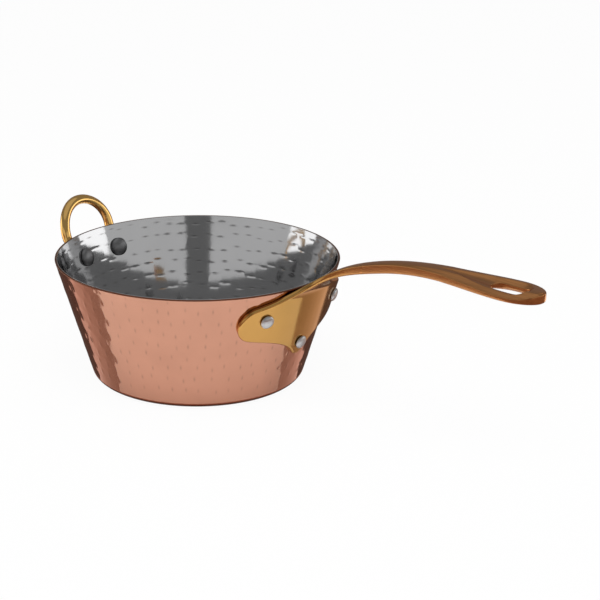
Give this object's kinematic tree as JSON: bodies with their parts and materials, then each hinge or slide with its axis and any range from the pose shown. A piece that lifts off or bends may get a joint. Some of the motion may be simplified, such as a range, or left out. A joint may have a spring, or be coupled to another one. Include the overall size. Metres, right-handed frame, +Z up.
{
  "type": "saucepan",
  "caption": "Small tapered hammered copper saucepan with a steel lining, a riveted long brass handle with a hanging slot, and a brass finger loop opposite, for heating and pouring sauces.",
  "frame": {"origin": "centre of the flat base, on the surface the pan stands on", "axes": "+X from the pan's axis out along the long handle, +Z up out of the mouth, +Y to the left when looking out along the handle"},
  "size_m": [0.2762, 0.14, 0.0829],
  "materials": {
    "copper": "hammered and polished copper",
    "lining": "hammered and polished steel",
    "brass": "polished cast brass",
    "rivets": "polished steel"
  },
  "bodies": {
    "root": {"copper_body": "copper", "steel_lining": "lining", "long_handle": "brass", "loop_handle": "brass", "handle_rivet_left": "rivets", "handle_rivet_right": "rivets", "handle_rivet_low": "rivets", "loop_rivet_left": "rivets", "loop_rivet_right": "rivets"}
  },
  "joints": []
}
